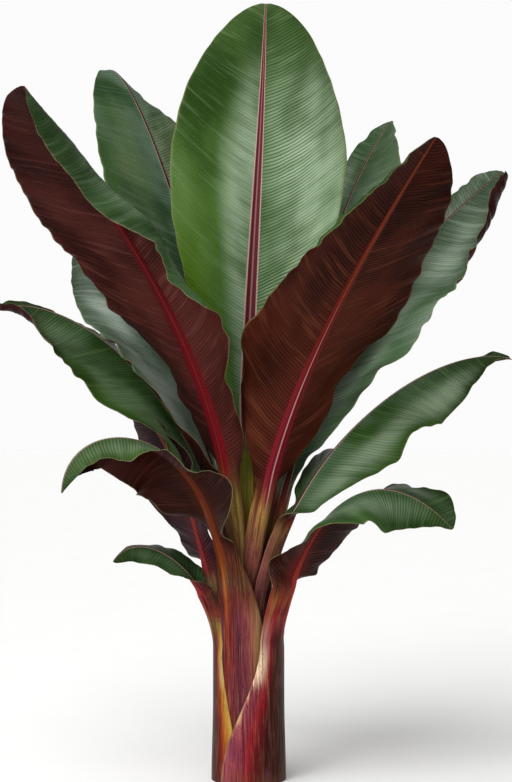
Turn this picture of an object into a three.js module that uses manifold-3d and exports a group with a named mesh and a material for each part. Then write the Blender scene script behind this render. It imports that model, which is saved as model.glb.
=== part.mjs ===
// A red-leaved banana plant: nested leaf bases make the stem, and long blades make the crown.
// Millimetres, +Z up. The stem's flat cut lies at z = 0, with the origin at its centre.
import * as THREE from 'three';
import Module from 'manifold-3d';

const wasm = await Module();
wasm.setup();

const CLEAR = 0.3;
const CUT_CLEAR = 0.6;

// The stem: a core inside three rings of sheaths, 7 mm thick each, that widen towards the foot.
const WAIST_HEIGHT = 250;
const FOOT_FLARE = 0.045;
const SHEATH_THICK = 7;
const RING_OUTER = 110;
const RING_MIDDLE = RING_OUTER - SHEATH_THICK - CLEAR;
const RING_INNER = RING_MIDDLE - SHEATH_THICK - CLEAR;
const CORE_RADIUS = RING_INNER - SHEATH_THICK / 2 - CLEAR;
const CORE_SHOULDER = 300;
const CORE_TOP = 760;
const CORE_TOP_RADIUS = 18;
const CORE_SIDES = 32;
const CORE_HEIGHTS = [0, 110, 250, 300, 370, 440, 510, 580, 650, 710, CORE_TOP];

// The leaf stalks and blades.
const STALK_THICK = 11;
const STALK_KEEL = 8;
const RIB_KEEL = 9;
const STALK_CURL = 1.5;
const BLADE_LENGTH_PER_THICK = 90;
const BLADE_THICK_LEAST = 9;
const TIP_HALF_WIDTH = 8;
const BEND_SHARE = 0.1;
const FOOT_ROWS = 2;
const STALK_ROWS = 5;
const BLADE_ROWS = 13;
const SHEATH_HEIGHTS = [0, 90, 170, 250, 340];
const UPPER_SHARES = [0, 0.12, 0.4, 0.72, 1];
const LOWER_SHARES = [0, 0.28, 0.6, 1];

// One half of a blade: its width, then its rise from the rib and its roll towards the margin,
// in degrees at even steps from the base to the tip, then its waves, how far it wraps round the
// stem at the foot and where it leaves, and how late the roll begins.
function half(width, fold, curl, { wave = [0, 3, 0], wrap = [42, 38], bend = 1.4 } = {}) {
  return { width, fold, curl, wave, wrap, bend };
}

// foot and base: azimuth, radius and height where the stalk starts in the stem and leaves it.
// start and end: azimuth and lean of the rib at the base and at the tip. pull: how far each of
// the two directions carries. facing: azimuth of the leaf's back at the base and the tip.
// stalk: its length and half width. widest: where along the blade. full: how blunt it is towards
// the base and towards the tip. bends: the leaf arches over. sheath and depth: the sheath that it
// grows from, and how thick. gather: where the sheath narrows. free: where it leaves the stem.
const LEAVES = {
  leaf_top: {
    base: [201, 10, 651], tip: [57, 123, 2429], start: [110, 3], end: [78, 8],
    pull: [0.34, 0.33], facing: [97, 96], stalk: [392, 36], widest: 0.61, full: [1.0, 0.54],
    left: half(281, [16, 13, 12, 9, 8], [19, 9, -1, -6, -31], { wave: [8, 2.9, 0.11], bend: 1.5 }),
    right: half(275, [13, 10, 7, 9, 19], [-10, 2, 15, 22, 13], { wave: [17, 3.1, 0.68], bend: 1.8 }),
  },
  leaf_rear_upright: {
    foot: [92, 60, 460], base: [90, 48, 640], tip: [30, 560, 1800], start: [90, 8], end: [88, 60],
    pull: [0.4, 0.35], facing: [88, 88], stalk: [300, 38], widest: 0.52, full: [0.9, 0.55],
    left: half(215, [12, 6, 0, -5, -10], [0, 0, 0], { wave: [10, 3, 0.1] }),
    right: half(215, [12, 6, 0, -5, -10], [0, 0, 0], { wave: [10, 3, 0.5] }),
  },
  leaf_front_left: {
    foot: [235, 60, 450], base: [232, 50, 608], tip: [-605, -693, 2027], start: [234, 2],
    end: [261, 71], pull: [0.47, 0.34], facing: [224, 248], stalk: [315, 42], widest: 0.51,
    full: [0.76, 0.67],
    left: half(234, [5, 11, 27, 6, 1], [14, -45, -119, -140, -180],
      { wave: [26, 3.7, 0.04], bend: 1.1 }),
    right: half(258, [19, 8, 5, -1, -4], [6, 40, 6, -13, 7], { wave: [8, 4.4, 0.1] }),
  },
  leaf_front_right: {
    foot: [290, 62, 440], base: [297, 48, 603], tip: [532, -519, 1914], start: [296, 7],
    end: [314, 42], pull: [0.34, 0.31], facing: [308, 309], stalk: [268, 46], widest: 0.51,
    full: [0.97, 0.58],
    left: half(280, [10, 13, 5, -5, -13], [3, 5, 6, 2, 9], { wave: [20, 2.8, 0.28], bend: 1.1 }),
    right: half(258, [33, 44, 4, 5, -8], [62, 65, 10, -84, -48],
      { wave: [12, 2.8, 0.25], bend: 3.9 }),
  },
  leaf_back_left: {
    foot: [130, 50, 540], base: [128, 34, 696], tip: [-484, 518, 2280], start: [118, 3],
    end: [139, 129], pull: [0.38, 0.09], facing: [121, 121], stalk: [244, 36], widest: 0.48,
    full: [0.89, 0.51],
    left: half(248, [19, 13, 6, -2, -12], [-12, -8, -3, -5, 0], { wave: [6, 3.4, -0.09], bend: 1.1 }),
    right: half(242, [17, 15, 9, -7, -35], [-4, -2, 0, -1, -14], { wave: [4, 3, 0.06], bend: 0.8 }),
  },
  leaf_back_right: {
    foot: [50, 50, 540], base: [40, 37, 616], tip: [475, 447, 2103], start: [41, 11],
    end: [47, 45], pull: [0.44, 0.23], facing: [45, 44], stalk: [320, 36], widest: 0.51,
    full: [0.84, 0.65],
    left: half(184, [-4, -10, -13, -6, 12], [12, 0, -9, -7, -5], { wave: [8, 3, 0.11], bend: 1.7 }),
    right: half(254, [24, 13, 3, -4, -1], [-4, -20, -26, -12, 45], { wave: [1, 3.1, 0.09], bend: 1 }),
  },
  leaf_right: {
    foot: [12, 82, 430], base: [31, 82, 615], tip: [854, 455, 1938], start: [42, 10],
    end: [18, 51], pull: [0.48, 0.28], facing: [53, 57], stalk: [271, 46], widest: 0.52,
    full: [1.13, 0.38],
    left: half(253, [-21, -33, -34, -40, -13], [92, 66, 26, 1, 6],
      { wave: [9, 3.1, -0.13], bend: 1.3 }),
    right: half(272, [8, 7, 3, -31, -16], [10, 3, 3, 114, 225],
      { wave: [15, 4.3, -0.03], bend: 2.5 }),
  },
  leaf_left: {
    foot: [150, 76, 460], base: [140, 66, 648], tip: [-537, 313, 1720], start: [153, 2],
    end: [156, 42], pull: [0.27, 0.33], facing: [169, 128], stalk: [231, 46], widest: 0.41,
    full: [0.6, 0.55],
    left: half(263, [-9, 2, 4, 0, -6], [120, 40, 23, -35, -92], { wave: [4, 2.9, 0.29], bend: 2.2 }),
    right: half(253, [-18, -17, -15, -8, 1], [-12, 0, 13, 20, 23], { wave: [3, 4.7, 0] }),
  },
  leaf_left_arching: {
    foot: [172, 71, 430], base: [153, 62, 581], tip: [-820, 111, 1454], start: [177, 3],
    end: [173, 108], pull: [0.4, 0.3], facing: [192, 193], stalk: [257, 46], widest: 0.51,
    full: [0.68, 0.74], bends: true,
    left: half(208, [-45, -40, -53, -71, -36], [20, 27, 0, 87, 225],
      { wave: [7, 3.7, 0.23], bend: 2.2 }),
    right: half(199, [34, 22, 11, -1, -6], [-12, -5, 1, 14, 48], { wave: [12, 3.2, 0.14], bend: 1.2 }),
  },
  leaf_right_arching: {
    foot: [326, 78, 430], base: [329, 71, 583], tip: [835, 99, 1300], start: [335, 11],
    end: [-16, 107], pull: [0.46, 0.22], facing: [-13, 3], stalk: [210, 51], widest: 0.46,
    full: [1, 0.71], bends: true,
    left: half(206, [20, 3, -32, -36, -34], [-6, 27, -17, -5, 107],
      { wave: [12, 3.3, -0.28], bend: 0.8 }),
    right: half(190, [-62, -64, -54, -60, -37], [20, -11, 12, -19, 91],
      { wave: [20, 3.7, 0.33], bend: 1.7 }),
  },
  leaf_rear_arching: {
    foot: [76, 71, 430], base: [72, 74, 560], tip: [70, 800, 1250], start: [72, 6],
    end: [84, 118], pull: [0.5, 0.35], facing: [72, 84], stalk: [280, 38], widest: 0.5,
    full: [0.9, 0.6], bends: true,
    left: half(190, [5, -8, -20, -28, -35], [0, 0, 0], { wave: [10, 3, 0.7] }),
    right: half(190, [5, -8, -20, -28, -35], [0, 0, 0], { wave: [10, 3, 0.2] }),
  },
  leaf_left_inner: {
    foot: [198, 88, 430], base: [184, 87, 520], tip: [-392, 61, 1210], start: [193, 19],
    end: [170, 45], pull: [0.38, 0.41], facing: [193, 214], stalk: [133, 60], widest: 0.49,
    full: [0.48, 0.66],
    left: half(93, [11, 6, 2, -8, -16], [21, 7, 12, -4, -20], { wave: [4, 4.4, 0.89], bend: 0.8 }),
    right: half(138, [-20, -21, -29, -27, -24], [6, 3, -27, 35, 9],
      { wave: [5, 2.5, -0.1], bend: 0.8 }),
  },
  leaf_front_drooping: {
    base: [231, RING_INNER, 485], tip: [-532, -406, 906], start: [207, 1], end: [103, 171],
    pull: [0.94, 0.37], facing: [243, 206], stalk: [225, 42], widest: 0.37, full: [0.66, 0.81],
    sheath: 'sheath_front', depth: SHEATH_THICK, gather: [380, 800], free: [600, 850],
    left: half(159, [-34, 8, -25, -31, -41], [-34, -5, 51, 11, -35],
      { wave: [18, 3.5, 0.2], wrap: [75, 30], bend: 2.9 }),
    right: half(155, [29, -30, -87, -80, -80], [39, -9, -1, 20, -17],
      { wave: [24, 3.1, 0.03], wrap: [33, 24], bend: 1.6 }),
  },
  leaf_rear_drooping: {
    base: [110, RING_MIDDLE, 470], tip: [-60, 860, 900], start: [106, 4], end: [97, 150],
    pull: [0.62, 0.4], facing: [108, 96], stalk: [300, 38], widest: 0.48, full: [0.85, 0.6],
    sheath: 'sheath_rear', depth: 2 * SHEATH_THICK + CLEAR, gather: [330, 700], free: [560, 800],
    left: half(165, [0, -18, -35, -40, -45], [0, 0, 0], { wave: [8, 3, 0.4], wrap: [33, 28] }),
    right: half(165, [0, -18, -35, -40, -45], [0, 0, 0], { wave: [8, 3, 0], wrap: [60, 30] }),
  },
  leaf_left_small: {
    base: [195, RING_MIDDLE, 421], tip: [-409, -97, 679], start: [189, 4], end: [196, 149],
    pull: [0.59, 0.35], facing: [200, 204], stalk: [153, 46], widest: 0.53, full: [0.6, 0.47],
    sheath: 'sheath_left', depth: 2 * SHEATH_THICK + CLEAR,
    left: half(59, [12, -34, -53, -60, -62], [60, -2, -18, -16, -15],
      { wave: [12, 2.6, -0.16], wrap: [62, 25], bend: 0.8 }),
    right: half(98, [80, 50, 26, 4, -18], [37, -12, -23, -22, -19],
      { wave: [6, 3.1, -0.15], wrap: [48, 40], bend: 1.3 }),
  },
  leaf_right_drooping: {
    base: [335, RING_OUTER, 437], tip: [623, -121, 780], start: [326, 10], end: [343, 138],
    pull: [0.74, 0.51], facing: [349, 358], stalk: [158, 84], widest: 0.51, full: [0.64, 0.67],
    sheath: 'sheath_right', depth: 3 * SHEATH_THICK + 2 * CLEAR,
    left: half(160, [-46, -52, -49, 19, 66], [33, 22, 46, -15, 73],
      { wave: [5, 3, 0.45], wrap: [100, 70], bend: 1.6 }),
    right: half(157, [81, 20, -24, -66, -53], [60, -40, -8, -28, 39],
      { wave: [8, 2.8, 0.39], wrap: [110, 44], bend: 1.6 }),
  },
};

function smooth(t) {
  const share = Math.min(1, Math.max(0, t));
  return share * share * (3 - 2 * share);
}

function mix(a, b, share) {
  return a + (b - a) * share;
}

// A smooth change between values spaced evenly from base to tip, turned into radians.
function angleAt(keys, t) {
  const spot = t * (keys.length - 1);
  const index = Math.min(Math.floor(spot), keys.length - 2);
  return THREE.MathUtils.degToRad(mix(keys[index], keys[index + 1], smooth(spot - index)));
}

function leaning([azimuth, lean]) {
  const a = THREE.MathUtils.degToRad(azimuth);
  const b = THREE.MathUtils.degToRad(lean);
  return new THREE.Vector3(Math.sin(b) * Math.cos(a), Math.sin(b) * Math.sin(a), Math.cos(b));
}

function place([azimuth, radius, height]) {
  const a = THREE.MathUtils.degToRad(azimuth);
  return new THREE.Vector3(radius * Math.cos(a), radius * Math.sin(a), height);
}

function flareAt(height) {
  return 1 + FOOT_FLARE * (1 - smooth(height / WAIST_HEIGHT));
}

// The rib's line, up the stem and then in one curve to the tip, and its length in the stem.
function ribLine(leaf) {
  const root = place(leaf.base);
  const tip = new THREE.Vector3(...leaf.tip);
  const chord = root.distanceTo(tip);
  const out = root.clone().addScaledVector(leaning(leaf.start), chord * leaf.pull[0]);
  const back = tip.clone().addScaledVector(leaning(leaf.end), -chord * leaf.pull[1]);
  const path = new THREE.CurvePath();
  let stem = 0;
  if (leaf.sheath || leaf.foot) {
    const foot = leaf.sheath ? new THREE.Vector3(root.x, root.y, 0) : place(leaf.foot);
    const rise = leaf.sheath ? new THREE.Vector3(0, 0, 1) : leaning(leaf.start);
    const bend = root.clone().addScaledVector(rise, -root.distanceTo(foot) / 2);
    const low = new THREE.QuadraticBezierCurve3(foot, bend, root);
    stem = low.getLength();
    path.add(low);
  }
  path.add(new THREE.CubicBezierCurve3(root, out, back, tip));
  return { path, length: path.getLength(), stem };
}

// 0 where the leaf's base wraps the stem, 1 where it stands free.
function freedAt(leaf, line, distance) {
  if (line.stem === 0) {
    return 1;
  }
  const [low, high] = leaf.free ?? [0.9 * line.stem, 1.25 * line.stem + 60];
  return smooth((distance - low) / (high - low));
}

// Where the rib is at a distance from its foot, and which ways the leaf's side and face point.
function frameAt(leaf, line, distance) {
  const share = Math.min(1, distance / line.length);
  const point = line.path.getPoint(share);
  const along = line.path.getTangent(share);
  let azimuth = mix(leaf.facing[0], leaf.facing[1], smooth(share));
  if (line.stem > 0) {
    const foot = leaf.sheath ? leaf.base[0] : leaf.foot[0];
    const held = foot + 360 * Math.round((leaf.facing[0] - foot) / 360);
    azimuth = mix(held, azimuth, freedAt(leaf, line, distance));
  }
  const facing = THREE.MathUtils.degToRad(azimuth);
  const side = new THREE.Vector3(Math.sin(facing), -Math.cos(facing), 0);
  side.addScaledVector(along, -side.dot(along)).normalize();
  const face = side.clone().cross(along);
  if (leaf.sheath) {
    const flare = flareAt(point.z);
    point.x *= flare;
    point.y *= flare;
  }
  return { point, along, side, face };
}

// One half's section: a point and a slope for each share of the way from rib to margin.
function halfSection(leaf, part, line, distance, shares, grow) {
  const bladeStart = line.stem + leaf.stalk[0];
  const t = Math.max(0, (distance - bladeStart) / (line.length - bladeStart));
  const fromEnd = t < leaf.widest ? t / leaf.widest : (1 - t) / (1 - leaf.widest);
  const full = t < leaf.widest ? leaf.full[0] : leaf.full[1];
  const outline = Math.sin(Math.min(1, Math.max(0, fromEnd)) * Math.PI / 2) ** full;
  const stalkWidth = leaf.stalk[1] * (1 - smooth(t / 0.3));
  const opened = smooth(t / 0.09);
  const fold = angleAt(part.fold, t) * opened;
  let width = Math.hypot(stalkWidth, part.width * outline, TIP_HALF_WIDTH * opened);
  let curl = angleAt(part.curl, t) * opened + (1 - opened) * STALK_CURL;
  if (line.stem > 0) {
    const freed = freedAt(leaf, line, distance);
    const [from, to] = leaf.gather ?? [0, line.stem];
    const gathered = smooth((distance - from) / (to - from));
    const wrap = THREE.MathUtils.degToRad(mix(part.wrap[0], part.wrap[1], gathered));
    const radius = leaf.sheath ? leaf.base[1] * flareAt(distance) : leaf.foot[1];
    width = mix(wrap * radius, width, freed);
    curl = mix(wrap, curl, freed);
  }
  const mostCurl = width / 20;
  curl = Math.min(mostCurl, Math.max(-mostCurl, curl));
  const slope = (u) => fold + curl * mix(u, u ** part.bend, opened);
  const [depth, waves, phase] = part.wave;
  const swell = depth * Math.sin(2 * Math.PI * (waves * t + phase)) * Math.sin(Math.PI * t) ** 0.6;
  const section = [];
  let across = 0;
  let rise = 0;
  let last = 0;
  for (const u of shares) {
    const steps = 12;
    const step = (u - last) / steps;
    for (let k = 0; k < steps && step > 0; k += 1) {
      const angle = slope(last + (k + 0.5) * step);
      across += Math.cos(angle) * step * width;
      rise += Math.sin(angle) * step * width;
    }
    last = u;
    const angle = slope(u);
    const lift = swell * u * u;
    const reach = u === 1 ? grow : 0;
    section.push({
      u,
      angle,
      across: across - lift * Math.sin(angle) + reach * Math.cos(angle),
      rise: rise + lift * Math.cos(angle) + reach * Math.sin(angle),
    });
  }
  return { section, width, t, opened };
}

// Moves a section's points out of the middle surface, one way for the upper face, one for the
// lower, with the two slopes shared where the halves meet at the rib.
function offsetLine(right, left, amount) {
  const moved = (points, mirror) => points.slice(1).map((p) => {
    const d = amount(p.u);
    return [mirror * (p.across - d * Math.sin(p.angle)), p.rise + d * Math.cos(p.angle)];
  });
  const middleX = Math.sin(left[0].angle) - Math.sin(right[0].angle);
  const middleY = Math.cos(left[0].angle) + Math.cos(right[0].angle);
  const size = Math.hypot(middleX, middleY);
  const meet = Math.min(2, 2 / size) * amount(0);
  const centre = [(middleX / size) * meet, (middleY / size) * meet];
  return [...moved(left, -1).reverse(), centre, ...moved(right, 1)];
}

// The closed outline of the leaf across the rib, at a distance from its foot.
function outlineAt(leaf, line, distance, grow) {
  const upper = ['right', 'left'].map((key) => (
    halfSection(leaf, leaf[key], line, distance, UPPER_SHARES, grow)));
  const lower = ['right', 'left'].map((key) => (
    halfSection(leaf, leaf[key], line, distance, LOWER_SHARES, grow)));
  const { t, opened } = upper[0];
  const bladeLength = line.length - line.stem - leaf.stalk[0];
  const bladeThick = Math.max(BLADE_THICK_LEAST, bladeLength / BLADE_LENGTH_PER_THICK);
  const inStem = 1 - freedAt(leaf, line, distance);
  let thick = mix(mix(STALK_THICK, bladeThick, opened), SHEATH_THICK, inStem);
  thick = Math.min(thick, 0.27 * Math.min(upper[0].width, upper[1].width));
  const keel = mix(STALK_KEEL, RIB_KEEL * (1 - t), opened) * (1 - inStem);
  let inward = thick / 2;
  if (leaf.sheath) {
    const sunk = 1 - smooth((distance - line.stem * 0.9) / 120);
    inward = mix(inward, leaf.depth - SHEATH_THICK / 2, sunk);
  }
  const above = offsetLine(upper[0].section, upper[1].section, () => inward + grow);
  const below = offsetLine(lower[0].section, lower[1].section, (u) => (
    -(thick / 2 + grow + keel * Math.max(0, 1 - u / 0.45) ** 2)));
  return [...above, ...below.reverse()];
}

// Skins a row of outlines, all with the same number of points, into one closed solid.
function skin(rings, contours) {
  const count = rings[0].length;
  const triangles = [];
  for (let i = 0; i + 1 < rings.length; i += 1) {
    for (let j = 0; j < count; j += 1) {
      const a = i * count + j;
      const b = i * count + ((j + 1) % count);
      triangles.push([a, b, b + count], [a, b + count, a + count]);
    }
  }
  const last = (rings.length - 1) * count;
  for (const [contour, first, reverse] of [[contours[0], 0, false], [contours[1], last, true]]) {
    const flat = contour.map(([x, y]) => new THREE.Vector2(x, y));
    const clockwise = THREE.ShapeUtils.isClockWise(flat);
    for (const [a, b, c] of THREE.ShapeUtils.triangulateShape(flat, [])) {
      const face = clockwise === reverse ? [a, c, b] : [a, b, c];
      triangles.push(face.map((k) => k + first));
    }
  }
  return closedSolid(rings.flat(), triangles);
}

// Turns points and triangles into a solid whose faces all look outwards.
function closedSolid(points, triangles) {
  let volume = 0;
  for (const [a, b, c] of triangles) {
    volume += points[a].dot(points[b].clone().cross(points[c]));
  }
  const faces = volume < 0 ? triangles.map(([a, b, c]) => [a, c, b]) : triangles;
  const mesh = new wasm.Mesh({
    numProp: 3,
    vertProperties: new Float32Array(points.flatMap((p) => [p.x, p.y, p.z])),
    triVerts: new Uint32Array(faces.flat()),
  });
  return new wasm.Manifold(mesh);
}

// A leaf, or its sheath, between two distances along the rib.
function leafSolid(leaf, distances, grow) {
  const line = ribLine(leaf);
  const contours = distances.map((distance) => outlineAt(leaf, line, distance, grow));
  const rings = distances.map((distance, i) => {
    const { point, along, side, face } = frameAt(leaf, line, distance);
    if (i === 0) {
      point.addScaledVector(along, -grow);
    }
    if (i === distances.length - 1) {
      point.addScaledVector(along, grow);
    }
    return contours[i].map(([x, y]) => (
      point.clone().addScaledVector(side, x).addScaledVector(face, y)));
  });
  return skin(rings, [contours[0], contours[contours.length - 1]]);
}

// Distances of the outlines from the stalk's start to the tip. A leaf that bends over has them
// in two lists, as its stalk is a body of its own.
function leafRows(leaf) {
  const line = ribLine(leaf);
  const bladeStart = line.stem + leaf.stalk[0];
  const rows = [];
  for (let i = 0; leaf.foot && i < FOOT_ROWS; i += 1) {
    rows.push(mix(0, line.stem, i / FOOT_ROWS));
  }
  const start = line.stem + (leaf.sheath ? CLEAR : 0);
  for (let i = 0; i < STALK_ROWS; i += 1) {
    rows.push(mix(start, bladeStart, i / STALK_ROWS));
  }
  for (let i = 0; i <= BLADE_ROWS; i += 1) {
    rows.push(mix(bladeStart, line.length, (i / BLADE_ROWS) ** 1.08 * 0.992));
  }
  if (!leaf.bends && !leaf.sheath) {
    return { blade: rows };
  }
  const bend = mix(bladeStart, line.length, BEND_SHARE);
  const blade = [bend, ...rows.filter((row) => row > bend + 10)];
  const stalk = [...rows.filter((row) => row < bend - 10), bend - CLEAR];
  return { blade, stalk };
}

function sheathRows(leaf) {
  return [...SHEATH_HEIGHTS, leaf.base[2]];
}

function coreRadius(height) {
  const drawn = smooth((height - CORE_SHOULDER) / (CORE_TOP - CORE_SHOULDER));
  return mix(CORE_RADIUS, CORE_TOP_RADIUS, drawn) * flareAt(height);
}

function coreSolid(grow) {
  const rings = CORE_HEIGHTS.map((height, i) => {
    const shift = i === 0 ? -grow : (i === CORE_HEIGHTS.length - 1 ? grow : 0);
    const radius = coreRadius(height) + grow;
    return Array.from({ length: CORE_SIDES }, (_, k) => {
      const a = (k / CORE_SIDES) * 2 * Math.PI;
      return new THREE.Vector3(radius * Math.cos(a), radius * Math.sin(a), height + shift);
    });
  });
  const contour = rings[0].map((p) => [p.x, p.y]);
  return skin(rings, [contour, contour]);
}

// Keeps the largest of the separate pieces that a cut has left.
function largestPiece(solid) {
  const { vertProperties, triVerts } = solid.getMesh();
  const points = [];
  for (let i = 0; i < vertProperties.length; i += 3) {
    points.push(new THREE.Vector3(vertProperties[i], vertProperties[i + 1], vertProperties[i + 2]));
  }
  const owner = points.map((_, i) => i);
  const find = (i) => {
    let root = i;
    while (owner[root] !== root) {
      owner[root] = owner[owner[root]];
      root = owner[root];
    }
    return root;
  };
  for (let i = 0; i < triVerts.length; i += 3) {
    owner[find(triVerts[i + 1])] = find(triVerts[i]);
    owner[find(triVerts[i + 2])] = find(triVerts[i]);
  }
  const pieces = new Map();
  for (let i = 0; i < triVerts.length; i += 3) {
    const key = find(triVerts[i]);
    const piece = pieces.get(key) ?? { volume: 0, triangles: [] };
    const [a, b, c] = [triVerts[i], triVerts[i + 1], triVerts[i + 2]];
    piece.volume += points[a].dot(points[b].clone().cross(points[c]));
    piece.triangles.push([a, b, c]);
    pieces.set(key, piece);
  }
  if (pieces.size < 2) {
    return solid;
  }
  const best = [...pieces.values()].reduce((a, b) => (a.volume > b.volume ? a : b));
  const used = [...new Set(best.triangles.flat())];
  const spot = new Map(used.map((old, i) => [old, i]));
  return closedSolid(used.map((i) => points[i]), best.triangles.map((f) => f.map((i) => spot.get(i))));
}

function boxOf(solid) {
  return new THREE.Box3().setFromArray(solid.getMesh().vertProperties);
}

function meshOf(name, solid, colour, roughness) {
  const { vertProperties, triVerts } = solid.getMesh();
  const geometry = new THREE.BufferGeometry();
  geometry.setAttribute('position', new THREE.BufferAttribute(new Float32Array(vertProperties), 3));
  geometry.setIndex(new THREE.BufferAttribute(new Uint32Array(triVerts), 1));
  geometry.computeVertexNormals();
  const material = new THREE.MeshStandardMaterial({ color: colour, roughness, metalness: 0 });
  const mesh = new THREE.Mesh(geometry, material);
  mesh.name = name;
  return mesh;
}

const COLOURS = {
  green: 0x46603a,
  bright: 0x5f7d3c,
  maroon: 0x4a2220,
  stalk: 0x7a5a35,
  sheath: 0x7c3b35,
  core: 0x5a3530,
};
const BRIGHT_LEAVES = ['leaf_top', 'leaf_right_drooping', 'leaf_front_drooping'];
const MAROON_LEAVES = ['leaf_front_left', 'leaf_front_right'];

function leafColour(name) {
  if (BRIGHT_LEAVES.includes(name)) {
    return COLOURS.bright;
  }
  return MAROON_LEAVES.includes(name) ? COLOURS.maroon : COLOURS.green;
}

// The inner leaves keep their whole stalks, and each later one is cut clear of them.
function buildPlant() {
  const plant = new THREE.Group();
  plant.name = 'banana_plant';
  plant.add(meshOf('stem_core', coreSolid(0), COLOURS.core, 0.6));
  const core = coreSolid(CUT_CLEAR);
  const taken = [{ cutter: core, box: boxOf(core) }];
  const fit = (leaf, rows, name, colour, roughness) => {
    const whole = leafSolid(leaf, rows, 0);
    const near = taken.filter((one) => one.box.intersectsBox(boxOf(whole)));
    const cut = near.reduce((rest, one) => rest.subtract(one.cutter), whole);
    const solid = largestPiece(cut);
    plant.add(meshOf(name, solid, colour, roughness));
    const cutter = leafSolid(leaf, rows, CUT_CLEAR).add(solid);
    taken.push({ cutter, box: boxOf(cutter) });
  };
  for (const [name, leaf] of Object.entries(LEAVES)) {
    const { blade, stalk } = leafRows(leaf);
    fit(leaf, blade, name, leafColour(name), 0.45);
    if (stalk) {
      fit(leaf, stalk, name.replace('leaf', 'stalk'), COLOURS.stalk, 0.5);
    }
  }
  for (const leaf of Object.values(LEAVES).filter((one) => one.sheath)) {
    fit(leaf, sheathRows(leaf), leaf.sheath, COLOURS.sheath, 0.5);
  }
  return plant;
}

export default buildPlant();
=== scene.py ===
import math
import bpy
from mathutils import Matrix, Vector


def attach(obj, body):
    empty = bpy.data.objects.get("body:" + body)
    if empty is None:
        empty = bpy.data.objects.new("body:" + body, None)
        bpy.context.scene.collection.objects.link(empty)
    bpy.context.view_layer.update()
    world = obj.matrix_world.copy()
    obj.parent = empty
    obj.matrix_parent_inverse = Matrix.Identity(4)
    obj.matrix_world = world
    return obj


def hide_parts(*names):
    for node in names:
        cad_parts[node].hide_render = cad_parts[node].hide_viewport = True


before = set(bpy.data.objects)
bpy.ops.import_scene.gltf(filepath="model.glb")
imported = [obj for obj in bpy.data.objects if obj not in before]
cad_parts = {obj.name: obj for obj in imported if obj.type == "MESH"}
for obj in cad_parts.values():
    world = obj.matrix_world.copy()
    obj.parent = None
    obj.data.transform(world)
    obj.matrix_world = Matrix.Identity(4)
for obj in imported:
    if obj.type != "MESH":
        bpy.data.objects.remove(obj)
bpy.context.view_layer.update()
from types import SimpleNamespace
import bpy
import numpy as np

# A red-leaved banana plant. Sizes are in millimetres and angles in degrees, as in the part's
# source, and the meshes are made in metres.
MM = 0.001
UP = np.array([0.0, 0.0, 1.0])

# The stem is three rings of sheaths round a core.
WAIST_HEIGHT = 250
FOOT_FLARE = 0.045
SHEATH_THICK = 7
CLEAR = 0.3
RING_OUTER = 110
RING_MIDDLE = RING_OUTER - SHEATH_THICK - CLEAR
RING_INNER = RING_MIDDLE - SHEATH_THICK - CLEAR
CORE_RADIUS = RING_INNER - SHEATH_THICK / 2 - CLEAR
CORE_SHOULDER = 300
CORE_TOP = 760
CORE_TOP_RADIUS = 18
CORE_SET_BACK = 0.8
CORE_RIDGES = 9
CORE_RIDGE_HEIGHT = 0.6

# Half the thickness of each part of a leaf at the rib, and how much of it is gone at the margin.
BLADE_HALF, BLADE_THINS = 0.9, 0.45
STALK_HALF, STALK_THINS = 5.5, 3.8
SHEATH_HALF, SHEATH_THINS = 4.4, 3.5
SHEATH_TUCK = 1.2

# The rib, with its keel below and the groove between two ridges above. KEEL_SHARE is how much of
# the solid's keel is kept, and RIB_COLUMNS are the mesh's columns, in half widths of the rib.
STALK_KEEL = 8
RIB_KEEL = 9
KEEL_SHARE = 0.95
RIB_RIDGE = 2.4
RIB_GROOVE = 1.6
STALK_RIB = 13
RIB_SHARE = 0.42
RIB_COLUMNS = (0.0, 0.35, 0.7, 1.0, 1.4)

# The blade. Curl is the roll of a stalk's edges in radians, and TIGHTEST_ROLL a radius.
STALK_CURL = 1.5
LEAST_WIDTH = 3
TIGHTEST_ROLL = 12
VEIN_SLANT = 0.38
VEIN_BEND = 950
VEIN_GAP = 10.8
RAGGED_LENGTH = 190
RUFFLE_LENGTH = 118
PLEAT_LENGTH = 27

ROWS = 190
BLADE_COLUMNS = 19
PATH_STEPS = 500
SECTION_STEPS = 160
CAP_BAND = 0.01


def half(width, fold, curl, wave=(0, 3, 0), wrap=(42, 38), bend=1.4):
    """Half a leaf: width, rise from the rib, roll to the margin, waves, wrap round the stem."""
    return {"width": width, "fold": fold, "curl": curl, "wave": wave, "wrap": wrap, "bend": bend}


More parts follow.
